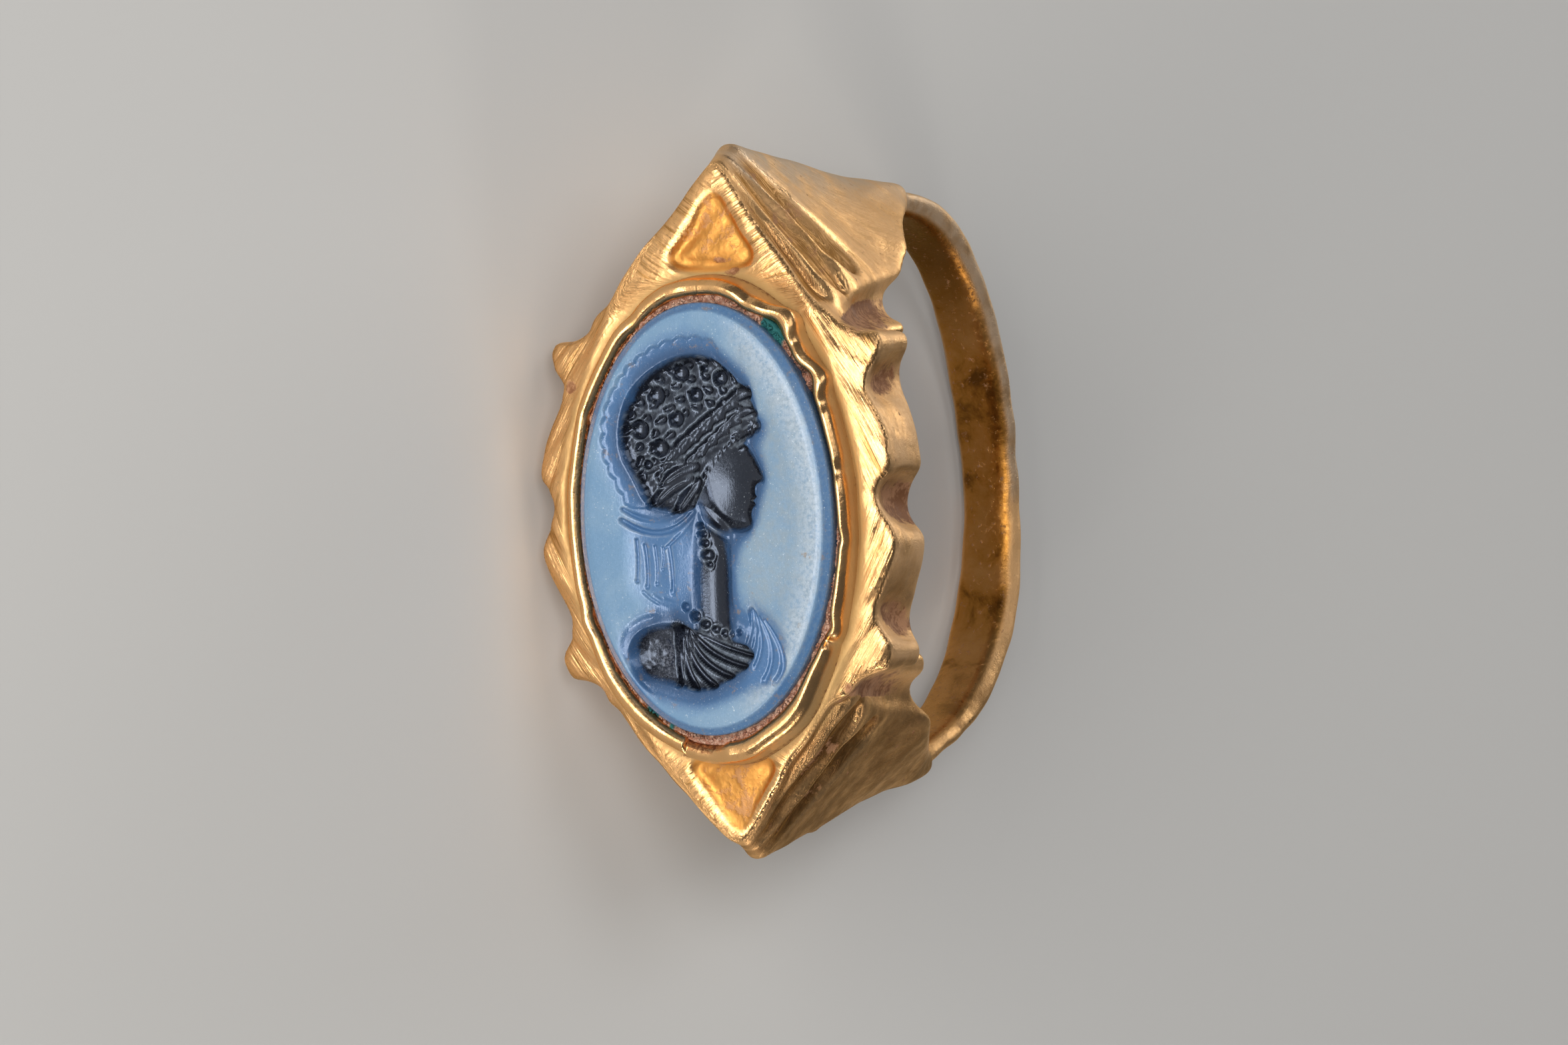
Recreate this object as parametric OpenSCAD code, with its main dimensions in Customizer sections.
// Gold finger ring with an engraved oval stone, lying on its side.
// The ring is drawn on a bench frame and laid down at the end:
// X runs along the bezel, from its upper tip (minus) to its lower tip (plus),
// Y is the depth behind the tips of the bezel, Z is the axis of the finger.

/* [Hoop] */
// Diameter of the finger hole
finger_d = 18.3; // [17.6:0.1:18.8]
// Depth of the finger hole's axis behind the tips of the bezel
hoop_depth = 12.05; // [11.9:0.05:12.4]
// Thickness of the band at the back
band_t = 0.9; // [0.8:0.05:1.2]
// Width of the band at the back
band_w = 2.3; // [2:0.1:2.8]
// How far the hoop sits towards the upper tip
hoop_shift = 0.3; // [0.2:0.05:0.4]

/* [Bezel] */
// Half length of the front face, from its middle to a tip
face_half_l = 11.43; // [11.2:0.01:11.6]
// How far the middle of the front face stands in front of its tips
face_bow = 1.31; // [1.1:0.01:1.5]
// Drop of the brushed flange from its inner ridge to the lobes
flange_drop = 0.27; // [0.15:0.01:0.4]
// Half width of the inner ridge at the middle of the bezel
ridge_half_w = 5.3; // [5.2:0.05:5.5]
// Depth of the lobes' rear edge behind the tips
lobe_rear = 1.7; // [1.4:0.1:2]
// Half width over the two widest lobes
lobe_half_w = 6.5; // [6.4:0.05:6.7]

/* [Shoulders] */
// Half length over the shoulders' crests
crest_half_l = 12; // [11.9:0.05:12.2]
// Depth of an engraved groove
leaf_depth = 0.25; // [0.15:0.05:0.3]

/* [Collet and stone] */
// Length of the stone
stone_l = 14.4; // [14.2:0.1:14.5]
// Width of the stone
stone_w = 9.24; // [9.1:0.02:9.3]
// Height of the stone's table in front of the tips
table_h = 2; // [1.9:0.05:2.2]
// Thickness of the stone
stone_t = 2.5; // [2.2:0.1:2.7]
// Offset of the stone's middle towards the lower tip
stone_shift = 0.47; // [0.3:0.01:0.5]
// Height of the collet's rim in front of the tips
rim_h = 1.75; // [1.7:0.05:1.85]
// Thickness of the collet's wall at the sides
collet_t = 0.24; // [0.2:0.02:0.3]
// Depth that the bust's hair is cut into the table
hair_depth = 0.7; // [0.5:0.05:0.75]

/* [Hidden] */

finger_r = finger_d / 2;
hoop_r = finger_r + band_t;
half_band = band_w / 2;

// Worn edges of the band: how far they are taken off its thickness and its width
worn = [0.12, 0.2];

// The ring lies on the rear edge of its two widest lobes and on the hoop's back
hoop_back = hoop_depth + hoop_r;
lay = atan((lobe_half_w - half_band) / (hoop_back - worn[0] - lobe_rear));
floor_z = -half_band * cos(lay) - (hoop_back - worn[0]) * sin(lay);
back_y = hoop_back * cos(lay) + (half_band - worn[1]) * sin(lay);
// Width and drop of the stone's bevel
bevel = 0.28;
front_y = -table_h * cos(lay) - (stone_w / 2 - bevel) * sin(lay);

// Edge of the bezel from the upper tip to the lower tip:
// [place along the bezel, half width], each row a lobe's top or a notch's floor
LOBES = [
    [-5.3, 6.1],
    [-4.0, 5.72],
    [-1.2, lobe_half_w],
    [0.1, 6.08],
    [1.5, lobe_half_w],
    [4.0, 5.78],
    [5.45, 6.0],
];
// Straight run of the edge from a tip to the first notch: [distance from the tip, half width]
TIP_EDGE = [
    [0, 0.0],
    [0.8, 0.8],
    [2.15, 1.85],
    [3.5, 2.85],
    [4.6, 3.75],
    [5.2, 4.4],
];
// Places of the first and last notch, and their half width
upper_notch = [-6.2, 4.5];
lower_notch = [6.45, 4.7];
// Straight runs between one lobe's top and the next notch's floor
lobe_steps = 7;

// The plate that the bezel is cut from: its reach sideways, and where it starts and ends in depth
plate_reach = 8;
plate_front = -3;
plate_rear = 7;
// Depth to which the bezel's outline runs, well inside the shoulders
bezel_rear = 6;
// Underside of the bezel: its half width next to the finger, the depth there, and how far it
// still falls outside the lobes
under_w = 4.3;
under_y = 3.2;
under_fall = 0.13;
// Length of a cut that goes right through the hoop
through = 30;

// Sections of a shoulder: [depth, crest, half width of the crest, eave's half width, eave]
SHOULDER = [
    [0.0, face_half_l, 0.05, 4.4, 6.1],
    [1.25, crest_half_l, 0.3, 4.55, 6.15],
    [5.1, 11.36, 0.4, 4.5, 6.05],
    [7.3, 10.99, 0.45, 3.6, 7.75],
    [9.0, 10.7, 0.5, 2.75, 8.6],
    [10.6, 10.44, 0.55, 1.95, 9.25],
    [12.6, 10.05, 0.6, half_band, 9.75],
];
// How far a facet bulges halfway down, and where a shoulder ends inside the ring
belly = 0.12;
shoulder_base = 3;

// Oval of the stone's girdle and the rings round it
girdle = [stone_l / 2, stone_w / 2];
// Clearances [at the ends, at the sides]: stone to bedding, bedding to collet; seat's at the floor
bed_gap = [0.04, 0.03];
collet_gap = [0.03, 0.03];
floor_gap = 0.04;
bed_wall = [0.25, 0.11];
collet_end_t = 0.32;
collet_in = girdle + bed_gap + bed_wall + collet_gap;
collet_out = collet_in + [collet_end_t, collet_t];
// Channel between collet and ridge
channel_out = [8.15, ridge_half_w];
channel_floor = -0.55;
// Depths of the seat in the gold, of the bedding's underside and of the seat in the bedding
seat_floor = 0.95;
bed_floor = 0.9;
bed_seat = stone_t - table_h + floor_gap;
// Depth of the bedding's top, in front of the tips
bed_top = 1.45;
oval_sides = 96;

// Engraved grooves of one facet, from the crest to the eave: two points [along, depth, across]
LEAVES = [
    [[11.15, 0.75, 0.45], [6.4, 0.35, 4.15]],
    [[11.35, 1.6, 0.5], [6.9, 2.0, 3.8]],
    [[11.25, 2.5, 0.55], [7.9, 3.6, 3.3]],
];
// Spread of a groove's V at its start, middle and end: [share of its length, half width, depth]
LEAF_V = [
    [0, 0.08, 0.04],
    [0.7, 0.34, leaf_depth],
    [0.95, 0.3, 0.8 * leaf_depth],
    [1.02, 0.06, -0.1],
];
// Direction in which a facet faces
facet_out = [0.62, 0, 0.78];
// Sunk triangles of the tips: [side, distance of the apex and of the base from the middle]
SUNK = [[-1, 10.35, 7.95], [1, 11, 8.62]];
sunk_depth = 0.35;
sunk_half_w = 1.15;
sunk_round = 0.35;
// Step under the collet's lip: its height and its width
rim_step = [0.15, 0.07];

// Broad hollows of the bust: [across, along, radius, depth]
MASSES = [
    [-0.8, 3.1, 2.2, hair_depth],
    [-1.0, 2.3, 1.9, hair_depth],
    [0.75, 2.4, 1.45, 0.55],
    [0.85, 1.05, 0.95, 0.5],
    [1.8, 2.95, 0.45, 0.3],
    [2.1, 1.95, 0.35, 0.3],
    [1.75, 1.1, 0.28, 0.22],
    [1.5, 0.5, 0.38, 0.28],
    [-2.1, -4.55, 1.12, 0.45],
    [-0.3, -4.55, 1.55, 0.45],
    [1.2, -4.3, 1.1, 0.3],
];
// Berries of the wreath: [across, along, radius]
BERRIES = [
    [-2.35, 3.1, 0.38],
    [-1.7, 4.2, 0.4],
    [-0.83, 4.84, 0.38],
    [-1.0, 3.4, 0.35],
    [-1.65, 2.45, 0.35],
    [0.65, 4.5, 0.33],
    [-0.3, 4.1, 0.28],
];
// Beads along the neckline: [across, along, radius]
BEADS = [
    [-1.3, -2.75, 0.2],
    [-0.86, -3.1, 0.22],
    [-0.46, -3.5, 0.22],
    [1.1, -3.2, 0.22],
];
// Depth of a berry below the hair round it, how far its mouth stands above that, and its sides
berry_t = 0.22;
berry_rise = 0.12;
berry_sides = 12;
// Depth of a bead as a share of its radius
bead_share = 0.9;
// Locks that fall behind the neck: [across, along] of the top and of the foot
LOCKS = [for (k = [0:3]) [-2.65 + 0.42 * k, -0.6, -2.6 + 0.42 * k, -2.1]];
// Folds of the dress across the chest: [across, along] of both ends
FOLDS = [for (k = [0:3]) [-1.25, -4.0 - 0.4 * k, 1.3 - 0.5 * k, -4.3 - 0.42 * k]];

// Width and depth of a lock, of a fold and of the neck, and both ends of the neck
lock_cut = [0.3, 0.14];
fold_cut = [0.32, 0.5];
neck_cut = [1.3, 0.42];
neck = [[0.27, 0.3], [0.2, -3.2]];

function ease(t) = (1 - cos(180 * t)) / 2;
function mix(a, b, t) = a + (b - a) * t;

// Points of an oval with half sizes h
function oval(h) = [for (i = [0:oval_sides - 1])
    [h[0] * cos(360 * i / oval_sides), h[1] * sin(360 * i / oval_sides)]];

// Rows of the whole right-hand edge, from tip to tip
tip_rows = [for (r = TIP_EDGE) [r[0] - face_half_l, r[1]]];
wave_rows = concat([upper_notch], LOBES, [lower_notch]);
wave = [for (i = [0:len(wave_rows) - 2]) for (k = [0:lobe_steps - 1])
    let (t = k / lobe_steps)
    [mix(wave_rows[i][0], wave_rows[i + 1][0], t), mix(wave_rows[i][1], wave_rows[i + 1][1], ease(t))]];
last_rows = [for (i = [len(TIP_EDGE) - 1:-1:0]) [face_half_l - TIP_EDGE[i][0], TIP_EDGE[i][1]]];
right_edge = concat(tip_rows, wave, [lower_notch], last_rows);
left_edge = [for (i = [len(right_edge) - 2:-1:1]) [right_edge[i][0], -right_edge[i][1]]];

// Height of the front face in front of the tips at place x
function face_h(x) = face_bow * (1 - pow(min(1, abs(x) / face_half_l), 1.5));
// Half width of the flange's inner ridge at place x
function ridge_w(x) = ridge_half_w * pow(max(0, 1 - pow(abs(x) / face_half_l, 1.75)), 0.8);

// Turns the bench frame so that the ring lies on its side, its lowest points on z = 0
module lay_down()
    translate([0, -(front_y + back_y) / 2, -floor_z])
        rotate([-lay, 0, 0])
            children();

// A flat outline of [x, z] points, cut from depth y0 to depth y1
module plate(points, y0, y1)
    translate([0, y0, 0])
        rotate([-90, 0, 0])
            linear_extrude(y1 - y0)
                polygon(points);

// The skin through a stack of sections with the same number of points, closed at both ends
module loft(sections) {
    n = len(sections[0]);
    points = [for (s = sections) for (p = s) p];
    sides = [for (k = [0:len(sections) - 2]) for (i = [0:n - 1])
        let (a = k * n + i, b = k * n + (i + 1) % n)
        each [[a, b, b + n], [a, b + n, a + n]]];
    first = [[for (i = [n - 1:-1:0]) i]];
    last = [[for (i = [0:n - 1]) (len(sections) - 1) * n + i]];
    polyhedron(points, concat(sides, first, last), convexity = 6);
}

// The bowed front of the bezel: level between the ridges, falling away over the flange
module face_form() {
    steps = 24;
    least_w = 0.02;
    slope = flange_drop / (lobe_half_w - ridge_half_w);
    sections = [for (k = [0:steps])
        let (x = mix(-crest_half_l, crest_half_l, k / steps))
        let (h = face_h(x), w = ridge_w(x), edge = h - slope * (plate_reach - w))
        [[x, plate_rear, -plate_reach], [x, -edge, -plate_reach], [x, -h, -w - least_w],
         [x, -h, w + least_w], [x, -edge, plate_reach], [x, plate_rear, plate_reach]]];
    loft(sections);
}

// Cross-section of the bezel: upright side walls, then an underside drawn in towards the finger
module under_form()
    rotate([0, -90, 0])
        linear_extrude(2 * crest_half_l, center = true)
            polygon([[-plate_reach, plate_front], [plate_reach, plate_front],
                     [plate_reach, lobe_rear - under_fall], [lobe_half_w, lobe_rear],
                     [under_w, under_y], [under_w, plate_rear], [-under_w, plate_rear],
                     [-under_w, under_y], [-lobe_half_w, lobe_rear],
                     [-plate_reach, lobe_rear - under_fall]]);

module bezel()
    intersection() {
        plate(concat(right_edge, left_edge), plate_front, bezel_rear);
        face_form();
        under_form();
    }

// One roof-shaped shoulder; side is -1 at the upper tip and 1 at the lower tip
module shoulder(side) {
    sections = [for (r = SHOULDER)
        let (lift = -side * hoop_shift * max(0, r[0] - SHOULDER[1][0]) / hoop_depth)
        let (crest = r[1] + lift, eave = r[4] + lift)
        let (mid = mix(crest, eave, 0.5) + belly, mid_w = mix(r[2], r[3], 0.5) + belly)
        [[shoulder_base, r[0], -r[3]], [eave, r[0], -r[3]], [mid, r[0], -mid_w], [crest, r[0], -r[2]],
         [crest, r[0], r[2]], [mid, r[0], mid_w], [eave, r[0], r[3]], [shoulder_base, r[0], r[3]]]];
    rotate([0, side < 0 ? 180 : 0, 0])
        loft(sections);
}

module hoop()
    translate([-hoop_shift, hoop_depth, 0])
        rotate_extrude($fn = 120)
            polygon([[finger_r - worn[1], -half_band], [hoop_r - worn[0], -half_band],
                     [hoop_r, worn[1] - half_band], [hoop_r, half_band - worn[1]],
                     [hoop_r - worn[0], half_band], [finger_r - worn[1], half_band]]);

module finger_hole()
    translate([-hoop_shift, hoop_depth, 0])
        cylinder(h = through, r = finger_r, center = true, $fn = 120);

// The solid of a groove from one point to another, opening towards out, its mouth drawn out
// past the surface and widened there.
// rows: [share of its length, half width, depth]; its floor has the given number of facets.
module trough(from, to, out, rows, facets) {
    run = to - from;
    across = cross(run / norm(run), out);
    lip = 0.35;
    flare = 1.2;
    loft([for (v = rows)
        let (c = from + run * v[0])
        concat([c + lip * out - flare * v[1] * across],
               [for (i = [0:facets])
                   c - v[1] * cos(180 * i / facets) * across - v[2] * sin(180 * i / facets) * out],
               [c + lip * out + flare * v[1] * across])]);
}

// Sunk triangle with round corners: apex and base are distances from the middle of the bezel
module sunk_triangle(side, apex, base) {
    tilt = atan(1.5 * face_bow / face_half_l) * side;
    middle = (apex + base) / 2;
    corners = [[apex - sunk_round, 0], [base + sunk_round, sunk_half_w],
               [base + sunk_round, -sunk_half_w]];
    translate([side * middle, -face_h(middle) + sunk_depth, 0])
        rotate([0, 0, tilt])
            rotate([90, 0, 0])
                linear_extrude(2)
                    hull()
                        for (c = corners)
                            translate([side * (c[0] - middle), c[1]])
                                circle(sunk_round, $fn = 32);
}

// The engraved grooves of the two facets at the lower tip, or turned to the upper tip
module leaf_grooves(turn)
    rotate([0, turn, 0])
        for (face = [0, 1])
            mirror([0, 0, face])
                for (g = LEAVES)
                    trough(g[0], g[1], facet_out, LEAF_V, 2);

module collet()
    translate([stone_shift, 0, 0]) {
        plate(oval(collet_out), -rim_h + rim_step[0], seat_floor);
        plate(oval(collet_out - [rim_step[1], rim_step[1]]), -rim_h, 0);
    }

module ring_body() color("goldenrod")
    lay_down()
        difference() {
            union() {
                difference() {
                    union() {
                        bezel();
                        shoulder(-1);
                        shoulder(1);
                    }
                    translate([stone_shift, 0, 0])
                        plate(oval(channel_out), plate_front, channel_floor);
                    for (t = SUNK)
                        sunk_triangle(t[0], t[1], t[2]);
                    leaf_grooves(0);
                    leaf_grooves(180);
                }
                collet();
                hoop();
            }
            finger_hole();
            translate([stone_shift, 0, 0])
                plate(oval(collet_in), plate_front, seat_floor);
        }

module bedding() color("rosybrown")
    lay_down()
        translate([stone_shift, 0, 0])
            difference() {
                plate(oval(girdle + bed_gap + bed_wall), -bed_top, bed_floor);
                plate(oval(girdle + bed_gap), plate_front, bed_seat);
            }

// A round-bottomed pit in the table: radius a at its mouth, t deep, its mouth sunk by base
module pit(place, a, t, base = 0, sides = 24) {
    r = (a * a + t * t) / (2 * t);
    translate([-place[1], base - table_h - r + t, place[0]])
        sphere(r, $fn = sides);
}

// A groove in the table; cut is its width and depth. It runs up to the surface at both ends.
module stroke(from, to, cut) {
    half_w = cut[0] / 2;
    end_w = 0.4 * half_w;
    above = -0.08;
    rows = [[-0.06, end_w, above], [0.1, half_w, cut[1]], [0.9, half_w, cut[1]], [1.06, end_w, above]];
    trough([-from[1], -table_h, from[0]], [-to[1], -table_h, to[0]], [0, -1, 0], rows, 6);
}

module stone_blank() {
    draw_in = 0.1;
    heights = [[-table_h, bevel], [bevel - table_h, 0], [stone_t - table_h, draw_in]];
    loft([for (h = heights) [for (p = oval(girdle - [h[1], h[1]])) [p[0], h[0], p[1]]]]);
}

// The bust, cut in as a hollow: broad round hollows first, then the small drills and strokes
module bust() {
    for (m = MASSES)
        pit([m[0], m[1]], m[2], m[3]);
    for (b = BERRIES)
        pit([b[0], b[1]], b[2], berry_t, hair_depth - berry_rise, berry_sides);
    for (b = BEADS)
        pit([b[0], b[1]], b[2], bead_share * b[2]);
    for (l = LOCKS)
        stroke([l[0], l[1]], [l[2], l[3]], lock_cut);
    for (f = FOLDS)
        stroke([f[0], f[1]], [f[2], f[3]], fold_cut);
    stroke(neck[0], neck[1], neck_cut);
}

module stone() color("steelblue")
    lay_down()
        translate([stone_shift, 0, 0])
            difference() {
                stone_blank();
                bust();
            }

ring_body();
bedding();
stone();
